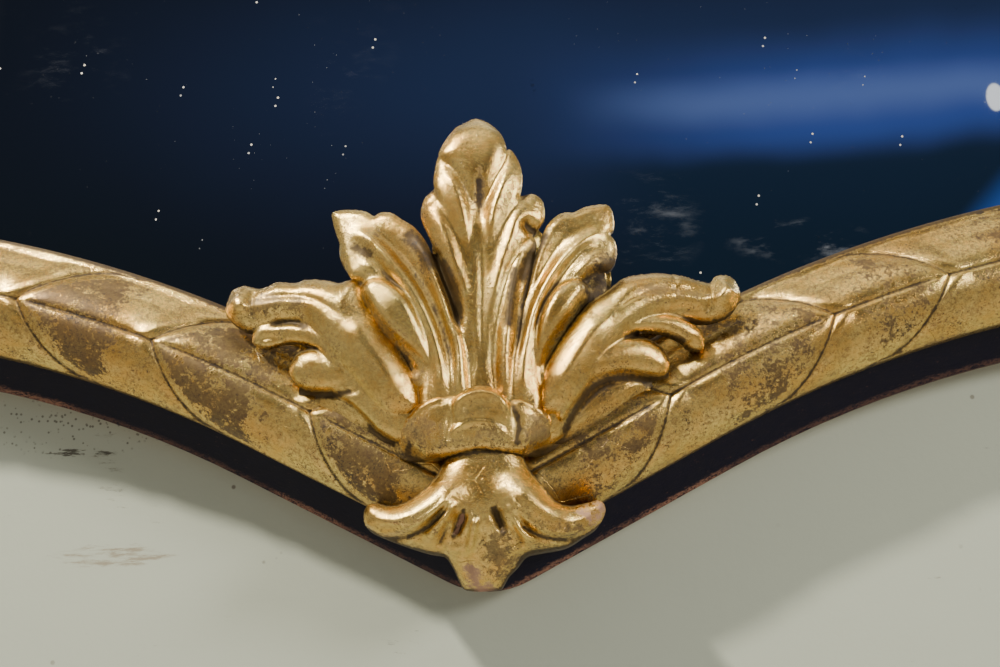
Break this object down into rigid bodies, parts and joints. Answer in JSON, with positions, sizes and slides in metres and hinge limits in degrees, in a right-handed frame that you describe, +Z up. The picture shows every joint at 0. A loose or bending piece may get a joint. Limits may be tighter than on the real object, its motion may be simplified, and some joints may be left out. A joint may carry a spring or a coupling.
{
  "type": "overmantel mirror",
  "caption": "Wide wall mirror in a carved gilt leaf frame with a black splayed edge, brace-shaped rails and an acanthus ornament over each cusp; hangs from rings.",
  "frame": {"origin": "middle of the mirror, on the face of the wall it hangs on", "axes": "+X to the viewer's right along the mirror's width, +Y into the wall, +Z up; the plate faces -Y"},
  "size_m": [1.4, 0.0797, 0.86],
  "materials": {
    "ebonised_pine": "satin black on the splayed edge, bare pine behind",
    "gilt_moulding": "worn gold leaf on gesso over carved pine",
    "gilt_carving": "worn gold leaf on gesso over carved pine",
    "silvered_glass": "polished, slightly foxed",
    "softwood": "bare",
    "backboard_pine": "bare, aged",
    "steel_screws": "dull",
    "aged_brass": "tarnished",
    "felt": "matte"
  },
  "bodies": {
    "frame": {"carcass_bottom_cusp": "ebonised_pine", "carcass_top_cusp": "ebonised_pine", "carcass_bottom_left": "ebonised_pine", "carcass_bottom_right": "ebonised_pine", "carcass_top_left": "ebonised_pine", "carcass_top_right": "ebonised_pine", "carcass_side_left": "ebonised_pine", "carcass_side_right": "ebonised_pine", "joint_splines": "softwood", "moulding_bottom_left": "gilt_moulding", "moulding_bottom_right": "gilt_moulding", "moulding_top_left": "gilt_moulding", "moulding_top_right": "gilt_moulding", "moulding_side_left": "gilt_moulding", "moulding_side_right": "gilt_moulding", "mirror_plate": "silvered_glass", "glazing_blocks": "softwood", "backboard_left": "backboard_pine", "backboard_centre": "backboard_pine", "backboard_right": "backboard_pine", "backboard_screws": "steel_screws", "bottom_crown": "gilt_carving", "bottom_collar": "gilt_carving", "bottom_fan_shell": "gilt_carving", "bottom_leaf_left": "gilt_carving", "bottom_leaf_right": "gilt_carving", "top_crown": "gilt_carving", "top_collar": "gilt_carving", "top_fan_shell": "gilt_carving", "top_leaf_left": "gilt_carving", "top_leaf_right": "gilt_carving", "ornament_screws": "steel_screws", "strap_left": "aged_brass", "strap_right": "aged_brass", "hanger_screws": "aged_brass", "wall_pads": "felt"},
    "left_ring": {"ring_left": "aged_brass"},
    "right_ring": {"ring_right": "aged_brass"}
  },
  "joints": [
    {"name": "left_ring_swing", "type": "hinge", "parent": "frame", "child": "left_ring", "pos_m": [-0.676, -0.0064, 0.15], "axis": [1, 0, 0], "range_deg": [0, 180]},
    {"name": "right_ring_swing", "type": "hinge", "parent": "frame", "child": "right_ring", "pos_m": [0.676, -0.0064, 0.15], "axis": [1, 0, 0], "range_deg": [0, 180]}
  ]
}
